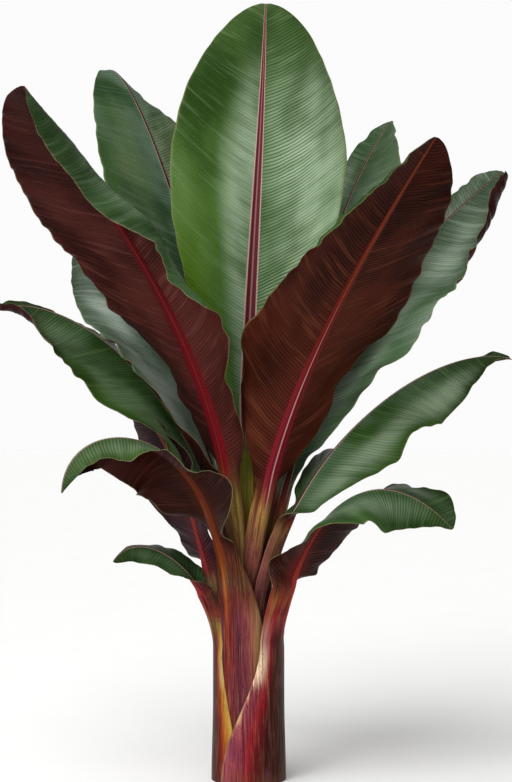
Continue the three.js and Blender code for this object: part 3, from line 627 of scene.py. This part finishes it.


# How each leaf looks, where it differs from PLAIN. Upper and lower faces go from deep to pale, and
# the upper one is multiplied by tip towards its tip. Rib is its half width in millimetres at the
# base and at the tip, and how it tapers. Rib_up has the colours of its ridges, groove and middle,
# and rib_low those of its keel from base to tip. Edge is a coloured line on the keel and its place
# across it, and edge_high the line's colour farther up. Stalks go from the stem to the blade, and
# sheaths from the rib to the margin. Throat is the pale head of a sheath, and olive the strength of
# a stalk's olive streaks. Line is the strength of the side veins, with their painted shade and
# light across the corrugations, on the left and the right half.
# Shine is a painted highlight, a band in the highlight colour across each half: its place from rib
# to margin, its width and its strength. Sheen is the strength of paler patches of painted sheen,
# glow a bright green near the base that is painted light shining through the leaf, and gloss the
# strength of reflections. Ragged, ruffle and pleat shape the margin and the blade.
LOOKS = {
    "leaf_top": dict(
        upper=("30501a", "4c6e32", "7f9a6c"), lower=("2c140e", "44241c", "6a4640"), painted_backlight="648a12",
        rib=(18, 2.0, 1.6), rib_up=("b9988e", "5c2029", "a07874"), painted_sheen=0.3, line=(0.35, 1.0),
        shine=((0.12, 0.36, 0.7), (0.62, 0.75, 0.9)), painted_highlight="a4b79c", tip="b4b894",
        stalk=("6a4a20", "7d7428", "5e661c"), ruffle=2.5, ragged=0.006),
    "leaf_rear_upright": dict(stalk=("5a3a22", "7a6a34", "6a2a28")),
    "leaf_front_left": dict(
        upper=("2a4420", "44603a", "74886c"), lower=("2a0f0c", "48201b", "6c3c38"),
        rib=(20, 2.5, 0.9), rib_low=("6e111b", "4e0d13", "440f0d"), edge=("a83c18", -0.3),
        stalk=("3a1c18", "5c3a22", "6a5426"), ruffle=7.0, line=(0.5, 0.6), gloss=0.03),
    "leaf_front_right": dict(
        lower=("260b06", "431a10", "6c3a26"), rib=(20, 2.5, 0.9), margin="7c7c50",
        rib_low=("761628", "641a18", "5c2410"), edge=("d8a8a0", 0.32), edge_high="a8601e",
        stalk=("3c1a1c", "7c463c", "a47c42"), ruffle=5.0, line=(0.8, 0.6), gloss=0.03),
    "leaf_back_left": dict(
        upper=("264020", "3c5830", "6c8270"), rib=(9, 2.0, 0.8),
        rib_up=("a58a80", "3c1614", "5c3230"),
        painted_sheen=0.8, shine=((0.5, 0.4, 0.25), (0.5, 0.9, 0.8)), painted_highlight="8f9c74", tip="dce0cc"),
    "leaf_back_right": dict(
        upper=("3a5832", "567050", "84987c"), rib=(9, 2.0, 0.8),
        rib_up=("a58a80", "4a1c1c", "6c3c3c"),
        shine=((0.5, 0.5, 0.5), (0.5, 0.5, 0.5)), tip="d8d8d0"),
    "leaf_right": dict(
        upper=("34502c", "587450", "98a896"), ruffle=8.0, painted_sheen=0.5, line=(0.6, 0.6),
        shine=((0.5, 0.5, 0.6), (0.4, 0.45, 0.65)), painted_highlight="aab8a8", tip="989c90"),
    "leaf_left": dict(
        upper=("486244", "6e8866", "aabaaa"), ruffle=7.0, painted_sheen=0.9, line=(0.6, 0.6),
        shine=((0.45, 0.6, 0.7), (0.45, 0.6, 0.75)), painted_highlight="b8c4ba", tip="68705e"),
    "leaf_left_arching": dict(
        upper=("213c12", "3a5820", "607c4a"), rib_up=("a07a6a", "4a1c18", "6a3a30"), ruffle=5.0,
        painted_sheen=0.25, stalk=("5a2a28", "7a4a40", "8a5a50"), line=(0.7, 0.7), tip="7c8468"),
    "leaf_right_arching": dict(
        upper=("22400f", "385420", "607a48"), rib=(8, 1.5, 1.0), ruffle=7.0, line=(0.7, 0.6),
        shine=((0.6, 0.4, 0.4), (0.6, 0.4, 0.65)), painted_highlight="8e9e86", tip="7c846c",
        rib_up=("a08078", "5a2024", "7a4444"), stalk=("5c2c34", "7c4840", "8a6440")),
    "leaf_rear_arching": dict(),
    "leaf_left_inner": dict(
        lower=("1c0a0a", "30151a", "543c44"), stalk=("5a4a34", "7a6a44", "5a2a2a")),
    "leaf_front_drooping": dict(
        upper=("2f4a18", "4c6a34", "76905c"), lower=("200a06", "36140e", "542820"), margin="98986c",
        rib=(13, 2.0, 1.2), rib_low=("66280f", "52200f", "441a0c"), edge=("b45c18", -0.1),
        stalk=("5a241c", "4c3020", "4e200e"), line=(0.8, 0.5), tip="9ca288",
        sheath=((0.0, "74281c"), (0.12, "68201f"), (0.3, "54202c"), (0.48, "682c36"),
                (0.68, "86463e"), (0.86, "8a5e48"), (1.0, "8a7048")), olive=0.25),
    "leaf_rear_drooping": dict(
        sheath=((0.0, "6a2420"), (0.35, "5c2028"), (0.7, "7a3226"), (0.93, "a87a40"),
                (1.0, "8a7a4a"))),
    "leaf_left_small": dict(
        upper=("1a300a", "26400f", "3e5a2a"), stalk=("66582c", "6c2a20", "4a1c18"), throat="a89060",
        painted_sheen=0.15, shine=((0.5, 0.4, 0.1), (0.5, 0.4, 0.1)), tip="a8ac80",
        # The deep stops by the rib are partly the sheath's own colour and partly painted shade on
        # the side of the stem turned from the light.
        sheath=((0.0, "2c0a0c"), (0.4, "480f10"), (0.6, "80260e"), (0.78, "9c6622"),
                (0.94, "a8863c")), ruffle=3.0),
    "leaf_right_drooping": dict(
        upper=("203c10", "365424", "5c7c4a"), lower=("1c0a08", "301410", "4e2a22"), margin="98986c",
        rib_low=("8a2420", "702010", "5c200e"), stalk=("8a2430", "741a22", "8a3a20"),
        edge=("a8541c", 0.2), throat="f0d4b0", olive=0.3, line=(0.8, 0.8),
        shine=((0.5, 0.4, 0.6), (0.5, 0.4, 0.6)),
        # The deep stops by the rib are partly the sheath's own colour and partly painted shade on
        # the side of the stem turned from the light.
        sheath=((0.0, "2a0a0a"), (0.4, "380e0e"), (0.54, "641018"), (0.64, "861a24"),
                (0.76, "782a36"), (0.94, "863e48"), (0.985, "a8745e"), (1.0, "b89270"))),
}
PLAIN = dict(
    upper=("2b441e", "426034", "6a8258"), lower=("260e0a", "3c1a16", "60342e"),
    rib=(7, 1.2, 1.0), rib_up=("a08478", "4a1e1c", "6a3c38"),
    rib_low=("84262a", "7a2c1c", "7c3c1c"), edge=("a8502a", 0.0), edge_high=None,
    stalk=("5a2a26", "7a6438", "7a2c2c"), sheath=((0.0, "6a2420"),),
    throat="84743c", margin="8a845c", ragged=0.012, ruffle=5.0, pleat=0.8, painted_backlight=None, painted_sheen=0.35,
    line=(0.55, 0.55), shine=((0.5, 0.4, 0.25), (0.5, 0.4, 0.25)), painted_highlight="93a48c", tip="a8ac90",
    gloss=0.06, olive=0.6)

LEAF_ROUGHNESS = 0.4
LEAF_RELIEF = 0.0012


def by_half(g, f, left, right):
    """One value on the leaf's left half and another on its right."""
    return g.step(f.half, -0.5, 0.5, left, right)


def leaf_fields(g, look, seed):
    """Place on the leaf, noises, veins and the line on the keel, which every colour is made of."""
    f = SimpleNamespace()
    f.c, f.d = g.uv("LeafUV")
    f.u, f.a = g.uv("PlaceUV")
    f.upper = g.attribute("upper")
    f.rib = g.attribute("rib")
    f.half = g.attribute("half")
    side = g.plus(g.times(f.half, 1.7), seed)
    drift = g.grain(f.c, 6.0, f.d, 8.0, side, detail=1.0)
    f.threads = g.grain(f.c, 620.0, f.d, 14.0, side)
    f.bands = g.grain(f.c, 60.0, f.d, 6.0, side)
    f.patch = g.grain(f.c, 5.0, f.d, 7.0, g.plus(side, 4.0))
    f.broad = g.grain(f.c, 2.6, f.d, 4.5, g.plus(side, 9.0), detail=1.0)

    across = g.times(f.half, f.d)
    f.wide = g.grain(across, 60.0, f.c, 2.4, seed, detail=3.0, rough=0.65)
    f.streak = g.grain(across, 190.0, f.c, 5.0, seed + 3, detail=3.0, rough=0.6)
    f.thin = g.grain(across, 560.0, f.c, 14.0, seed)
    f.fleck = g.grain(across, 360.0, f.c, 75.0, seed)
    f.cloud = g.grain(across, 22.0, f.c, 8.0, seed + 6, detail=3.0)

    turns = g.times(f.c, 2 * math.pi / (VEIN_GAP * MM))
    f.swing = g.math("SINE", g.plus(turns, g.times(drift, 14.0)))
    clear = g.times(g.step(f.broad, 0.35, 0.6, 0.35, 1.0), g.step(f.u, 0.4, 0.95, 1.0, 0.45))
    clear = g.times(clear, by_half(g, f, *look["line"]))
    # Side veins: dark lines, partly the veins' own colour and partly painted shade of the
    # corrugations, and between them paler painted light on the corrugations.
    f.dark_line = g.times(g.step(f.swing, 0.45, 1.0), clear)
    f.pale_line = g.times(g.step(f.swing, 0.1, -0.8), clear)

    f.line_colour, line_place = look["edge"]
    if look["edge_high"]:
        stops = ((0.0, f.line_colour), (0.3, f.line_colour), (0.55, look["edge_high"]))
        f.line_colour = g.ramp(f.a, stops)
    f.off_line = g.math("ABSOLUTE", g.plus(g.times(f.half, f.rib), -line_place))
    return f


def painted_shine_share(g, f, look):
    """How strongly the painted highlight, a band of sky light, lies on the upper face."""
    (left_place, left_wide, left_force), (right_place, right_wide, right_force) = look["shine"]
    centre = by_half(g, f, left_place, right_place)
    away = g.math("SUBTRACT", g.plus(f.u, g.sway(f.broad, 0.5)), centre)
    away = g.times(g.math("ABSOLUTE", away), by_half(g, f, 1 / left_wide, 1 / right_wide))
    share = g.times(g.step(away, 1.0, 0.1), g.step(f.bands, 0.25, 0.6, 0.55, 1.0))
    share = g.times(share, by_half(g, f, left_force, right_force))
    share = g.times(share, g.times(g.step(f.a, 0.02, 0.25), g.step(f.a, 0.92, 0.7)))
    return g.times(share, g.step(f.patch, 0.3, 0.6, 0.35, 1.0))


def upper_face(g, f, look):
    deep, mid, pale = look["upper"]
    top = g.mix(g.step(f.patch, 0.32, 0.68), deep, mid)
    # Painted sheen: paler patches over the blade, and a bluish-grey sheen by the rib.
    top = g.mix(g.times(g.step(f.broad, 0.5, 0.72), look["painted_sheen"]), top, pale)
    near_rib = g.times(g.step(f.d, 0.11, 0.015), g.step(f.patch, 0.35, 0.6))
    top = g.mix(g.times(near_rib, look["painted_sheen"]), top, "63786c")
    top = g.mix(g.step(f.a, 0.4, 0.9), top, look["tip"], "MULTIPLY")
    # Painted highlight: a band of pale colour across each half, where sky light would reflect.
    top = g.mix(painted_shine_share(g, f, look), top, look["painted_highlight"])
    top = g.mix(g.times(g.step(f.bands, 0.5, 0.8), 0.3), top, pale)
    # Painted light: bright green near the base, where light shines through the leaf.
    if look["painted_backlight"]:
        lit = g.times(g.step(f.a, 0.75, 0.12), g.step(f.u, 0.25, 1.0))
        lit = g.times(lit, by_half(g, f, 1.0, 0.35))
        top = g.mix(g.times(lit, 0.8), top, look["painted_backlight"])
    top = g.mix(g.times(f.dark_line, 0.95), top, deep)
    top = g.mix(g.times(f.pale_line, 0.2), top, pale)
    top = g.mix(g.times(g.step(f.threads, 0.5, 0.8), 0.14), top, pale)
    ridge, groove, middle = look["rib_up"]
    top = g.mix(g.step(f.rib, 1.4, 1.22), top, ridge)
    top = g.mix(g.step(f.rib, 1.06, 0.94), top, groove)
    return g.mix(g.times(g.step(f.rib, 0.26, 0.08), 0.7), top, middle)


def under_face(g, f, look):
    deep, mid, pale = look["lower"]
    under = g.mix(g.step(f.patch, 0.32, 0.68), deep, mid)
    # The paler bands and threads on the lower face are partly its own streaks and partly painted
    # sheen.
    under = g.mix(g.times(g.step(f.bands, 0.5, 0.72), 0.45), under, pale)
    under = g.mix(g.times(f.dark_line, 0.8), under, deep)
    under = g.mix(g.times(f.pale_line, 0.3), under, pale)
    under = g.mix(g.times(g.step(f.threads, 0.55, 0.8), 0.3), under, pale)
    under = g.mix(g.step(f.a, 0.5, 0.95), under, "bca8a0", "MULTIPLY")
    low, middle, high = look["rib_low"]
    near_rib = g.times(g.step(f.d, 0.05, 0.015), g.step(f.a, 0.5, 0.05))
    under = g.mix(g.times(near_rib, 0.25), under, low)
    keel = g.ramp(f.a, ((0.0, low), (0.45, middle), (1.0, high)))
    keel = g.mix(g.times(g.step(f.off_line, 0.5, 0.3), 0.4), keel, "3a0a10")
    keel = g.mix(g.times(g.step(f.off_line, 0.18, 0.03), 0.6), keel, f.line_colour)
    return g.mix(g.step(f.rib, 1.5, 1.25), under, keel)


def stalk_face(g, f, look):
    split = look["sheath_share"]
    bottom, centre, head = look["stalk"]
    climb = g.step(f.a, split, 0.0) if split > -1 else g.plus(f.a, 1.0)
    warped = g.plus(climb, g.sway(f.wide, 0.7))
    stalk = g.ramp(warped, ((0.0, bottom), (0.3, bottom), (0.62, centre), (0.95, head)))
    stalk = g.mix(g.times(g.step(f.wide, 0.54, 0.68), look["olive"]), stalk, "84763c")
    return g.mix(g.times(g.step(f.wide, 0.46, 0.32), 0.7), stalk, "54141c")


def sheath_face(g, f, look, stalk):
    """The sheath's colours, its pale throat and its line, running out into the stalk."""
    split = look["sheath_share"]
    wrapped = g.ramp(g.plus(f.u, g.sway(f.wide, 0.3)), look["sheath"])
    wrapped = g.mix(g.times(g.step(f.cloud, 0.54, 0.7), 0.5), wrapped, "5c2840")
    throat = g.plus(g.step(f.a, split - 0.38, split - 0.12), g.sway(f.streak, 1.8))
    throat = g.times(g.step(throat, 0.5, 0.9), g.step(f.u, 0.55, 0.92))
    throat = g.times(throat, g.step(f.a, split + 0.02, split - 0.12, 0.2, 1.0))
    wrapped = g.mix(g.times(throat, 0.85), wrapped, look["throat"])
    stem = g.mix(g.step(f.a, split + 0.14, split), stalk, wrapped)
    line = g.times(g.step(f.off_line, 1.4, 0.0), g.step(f.a, split - 0.2, split + 0.15))
    line = g.times(line, g.step(f.streak, 0.4, 0.6, 0.2, 1.0))
    return g.mix(g.times(line, 0.5), stem, f.line_colour)


def stem_face(g, f, look):
    """Stalk and sheath with their streaks and flecks, and a sheath's scuffed foot and margin."""
    stem = stalk_face(g, f, look)
    has_sheath = look["sheath_share"] > -1
    if has_sheath:
        stem = sheath_face(g, f, look, stem)
    stem = g.mix(g.times(g.step(f.streak, 0.52, 0.72), 0.75), stem, "54381c", "SCREEN")
    stem = g.mix(g.times(g.step(f.streak, 0.48, 0.3), 0.7), stem, "703c40", "MULTIPLY")
    stem = g.mix(g.times(g.step(f.thin, 0.56, 0.7), 0.8), stem, "5c482c", "SCREEN")
    stem = g.mix(g.times(g.step(f.thin, 0.45, 0.3), 0.7), stem, "784c4c", "MULTIPLY")
    stem = g.mix(g.times(g.step(f.fleck, 0.64, 0.71), 0.7), stem, "241010")
    if has_sheath:
        scuff = g.times(g.step(f.a, -0.9, -1.0), g.step(f.cloud, 0.38, 0.6))
        stem = g.mix(g.times(scuff, 0.5), stem, "5c3c28")
        stem = g.mix(g.step(f.u, 0.988, 0.998), stem, "6c5238")
    return stem


def leaf_relief(g, f):
    """The height of the veins on a blade, and of the streaks on its rib and stalk."""
    veins = g.plus(g.times(g.step(f.swing, -0.6, 1.0), -0.8), g.times(f.threads, 0.3))
    veins = g.plus(veins, f.bands)
    ribs = g.plus(g.times(f.streak, 0.9), g.times(f.thin, 0.4))
    on_blade = g.times(g.step(f.a, -0.03, 0.05), g.step(f.rib, 1.0, 1.6))
    return g.plus(g.times(veins, on_blade), g.times(ribs, g.math("SUBTRACT", 1.0, on_blade)))


def leaf_material(name, look, seed):
    """Veined upper and lower faces and rib, joined to the streaked stalk and sheath."""
    g = Graph(name)
    f = leaf_fields(g, look, seed)
    blade = g.mix(f.upper, under_face(g, f, look), upper_face(g, f, look))
    blade = g.mix(g.times(g.step(f.u, 0.982, 0.994), 0.5), blade, look["margin"])
    joined = g.plus(f.a, g.sway(f.streak, 0.25))
    colour = g.mix(g.step(joined, -0.1, 0.06), stem_face(g, f, look), blade)
    return g.finish(colour, LEAF_ROUGHNESS, leaf_relief(g, f), LEAF_RELIEF, look["gloss"])


def core_mesh():
    """The stem inside the sheaths, a tapering body with shallow ridges."""
    sides = 72
    levels = np.linspace(0, CORE_TOP, 60)
    drawn = smooth((levels - CORE_SHOULDER) / (CORE_TOP - CORE_SHOULDER))
    radius = mix(CORE_RADIUS, CORE_TOP_RADIUS, drawn) * flare_at(levels)
    turn = np.linspace(0, 2 * np.pi, sides, endpoint=False)
    ripple = np.sin(CORE_RIDGES * turn)[None, :] * np.sin(levels / 90)[:, None]
    reach = (radius[:, None] - CORE_SET_BACK + CORE_RIDGE_HEIGHT * ripple) * MM
    ring = np.stack([reach * np.cos(turn), reach * np.sin(turn),
                     np.repeat(levels[:, None] * MM, sides, axis=1)], axis=-1)
    share = np.repeat((levels / CORE_TOP)[:, None], sides, axis=1)
    around = np.tile(turn[None, :] / (2 * np.pi), (len(levels), 1))
    data = {"leaf_c": share * CORE_TOP * MM, "leaf_d": around * 0.5, "u": around, "a": share,
            "upper": share, "rib": share, "half": share}
    return ring_mesh("stem_core_bark", ring, data)


def core_material():
    g = Graph("inner_stem")
    c, d = g.uv("LeafUV")
    place = g.add("ShaderNodeTexCoord")
    streak = g.grain(d, 160.0, c, 6.0, 2.0, detail=3.0)
    cloud = g.noise(place.outputs["Object"], scale=14.0)
    colour = g.mix(g.step(streak, 0.35, 0.65), "241210", "4c2822")
    colour = g.mix(g.times(g.step(cloud, 0.5, 0.7), 0.5), colour, "5c4028")
    return g.finish(colour, 0.6, streak, 0.001)


def build_leaf(number, name, leaf, rng):
    """A blade with its stalk and sheath, which stands for the nodes of all three."""
    stalk = leaf["stalk"][0]
    sheath = leaf["base"][2] if leaf.get("sheath") else 0
    look = {**PLAIN, **LOOKS[name]}
    look["sheath_share"] = -stalk / (stalk + sheath) if sheath else -1
    leaf["look"] = look
    piece = leaf_mesh(name + "_blade", leaf, rng)
    piece.data.materials.append(leaf_material(name + "_skin", look, number * 3.1))
    nodes = [name]
    if leaf.get("sheath"):
        nodes.append(leaf["sheath"])
    if leaf.get("sheath") or leaf.get("bends"):
        nodes.append(name.replace("leaf", "stalk"))
    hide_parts(*nodes)
    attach(piece, "root")


def build_core():
    core = core_mesh()
    core.data.materials.append(core_material())
    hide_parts("stem_core")
    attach(core, "root")


def build_plant():
    """Every leaf, all from one stream of random draws, and the stem's core."""
    rng = np.random.default_rng(7)
    for number, (name, leaf) in enumerate(LEAVES.items()):
        build_leaf(number, name, leaf, rng)
    build_core()


# The stage, in metres. The camera stands level at the height and distance that the curve of the
# stem's cut foot gives. The studio is bright along the horizon and dimmer overhead.
CAMERA_PLACE = (0.02635, -5.5, 1.2)
CAMERA_LENS = 81.68
CAMERA_SENSOR = 36
HORIZON_UP_TO, OVERHEAD_FROM = 0.24, 0.4
HORIZON_LIGHT, OVERHEAD_LIGHT = 0.97, 0.35
FLOOR_SIZE = 60
SUN_AIM = (0.5, 0.6, -1.0)
FRONT_LIGHT_PLACE = (-2.6, -4.2, 3.4)
FRONT_LIGHT_TARGET = (0, 0, 1.3)


def add_floor():
    bpy.ops.mesh.primitive_plane_add(size=FLOOR_SIZE, location=(0, 0, 0))
    floor = bpy.context.object
    floor.name = "floor"
    g = Graph("floor_paint")
    place = g.add("ShaderNodeTexCoord")
    speck = g.noise(place.outputs["Object"], scale=3.0)
    floor.data.materials.append(g.finish(g.mix(speck, "f8f8f7", "fcfcfb"), 0.8, speck, 0.0005))


def studio():
    """White surroundings, as bright as each direction's height in the sky asks."""
    world = bpy.data.worlds.new("studio")
    world.use_nodes = True
    nodes = world.node_tree.nodes
    links = world.node_tree.links
    spot = nodes.new("ShaderNodeTexCoord")
    parts = nodes.new("ShaderNodeSeparateXYZ")
    fade = nodes.new("ShaderNodeMapRange")
    links.new(spot.outputs["Generated"], parts.inputs[0])
    links.new(parts.outputs[2], fade.inputs[0])
    values = (HORIZON_UP_TO, OVERHEAD_FROM, HORIZON_LIGHT, OVERHEAD_LIGHT)
    for socket, given in zip(list(fade.inputs)[1:5], values):
        socket.default_value = given
    nodes["Background"].inputs[0].default_value = (1, 1, 1, 1)
    links.new(fade.outputs[0], nodes["Background"].inputs[1])
    return world


def add_light(name, kind, aim, energy):
    """A light that shines along aim."""
    lamp = bpy.data.objects.new(name, bpy.data.lights.new(name, kind))
    lamp.data.energy = energy
    lamp.rotation_mode = "QUATERNION"
    lamp.rotation_quaternion = Vector(aim).to_track_quat("-Z", "Y")
    bpy.context.collection.objects.link(lamp)
    return lamp


def add_camera():
    data = bpy.data.cameras.new("camera")
    data.lens = CAMERA_LENS
    data.sensor_width = CAMERA_SENSOR
    camera = bpy.data.objects.new("camera", data)
    camera.location = CAMERA_PLACE
    camera.rotation_euler = (math.pi / 2, 0, 0)
    bpy.context.collection.objects.link(camera)
    return camera


def set_stage():
    """A pale floor, soft studio light and the camera."""
    add_floor()
    scene = bpy.context.scene
    scene.world = studio()
    scene.view_settings.view_transform = "Standard"
    sun = add_light("key_light", "SUN", SUN_AIM, 2.5)
    sun.data.angle = math.radians(60)
    aim = np.subtract(FRONT_LIGHT_TARGET, FRONT_LIGHT_PLACE)
    front = add_light("front_light", "AREA", aim, 60)
    front.data.size = 1.6
    front.location = FRONT_LIGHT_PLACE
    scene.camera = add_camera()


build_plant()
set_stage()
